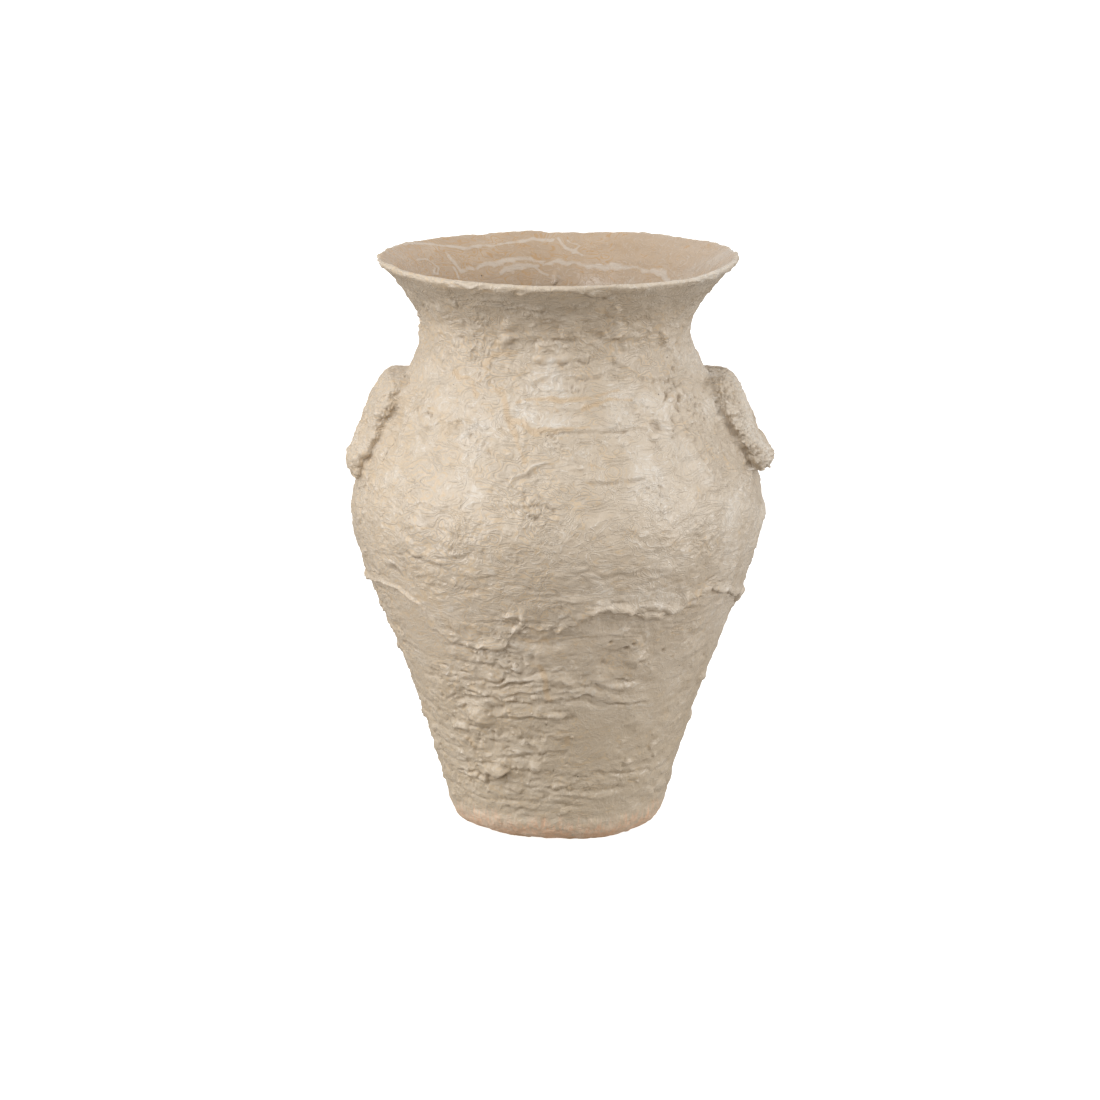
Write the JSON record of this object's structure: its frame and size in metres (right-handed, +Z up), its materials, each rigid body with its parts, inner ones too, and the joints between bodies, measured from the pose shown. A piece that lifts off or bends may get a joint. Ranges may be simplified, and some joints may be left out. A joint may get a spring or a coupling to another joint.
{
  "type": "ceramic vase",
  "caption": "Coil-built ceramic vase with a tapered foot, a wide rounded shoulder, a narrow neck, a flared mouth and two flat ear lugs.",
  "frame": {"origin": "centre of the foot on the surface that it stands on", "axes": "+Z up, the two ear lugs on +X and -X, the pictured side faces -Y"},
  "size_m": [0.2868, 0.28, 0.39],
  "materials": {
    "bare_clay": "bare fired clay, matt",
    "cream_glaze": "thin semi-matt cream glaze over rough clay, ochre and grey veins",
    "rim_glaze": "semi-matt cream glaze, worn to ochre along the lip",
    "lug_glaze": "semi-matt cream glaze over pebbly clay"
  },
  "bodies": {
    "root": {"base_slab": "bare_clay", "foot_coil": "cream_glaze", "lower_wall": "cream_glaze", "middle_wall": "cream_glaze", "belly_wall": "cream_glaze", "keel_wall": "cream_glaze", "lower_shoulder": "cream_glaze", "upper_shoulder": "cream_glaze", "neck_coil": "cream_glaze", "mouth_flare": "cream_glaze", "rim_coil": "rim_glaze", "lap_strip": "cream_glaze", "left_lug": "lug_glaze", "right_lug": "lug_glaze", "clay_dabs": "lug_glaze"}
  },
  "joints": []
}
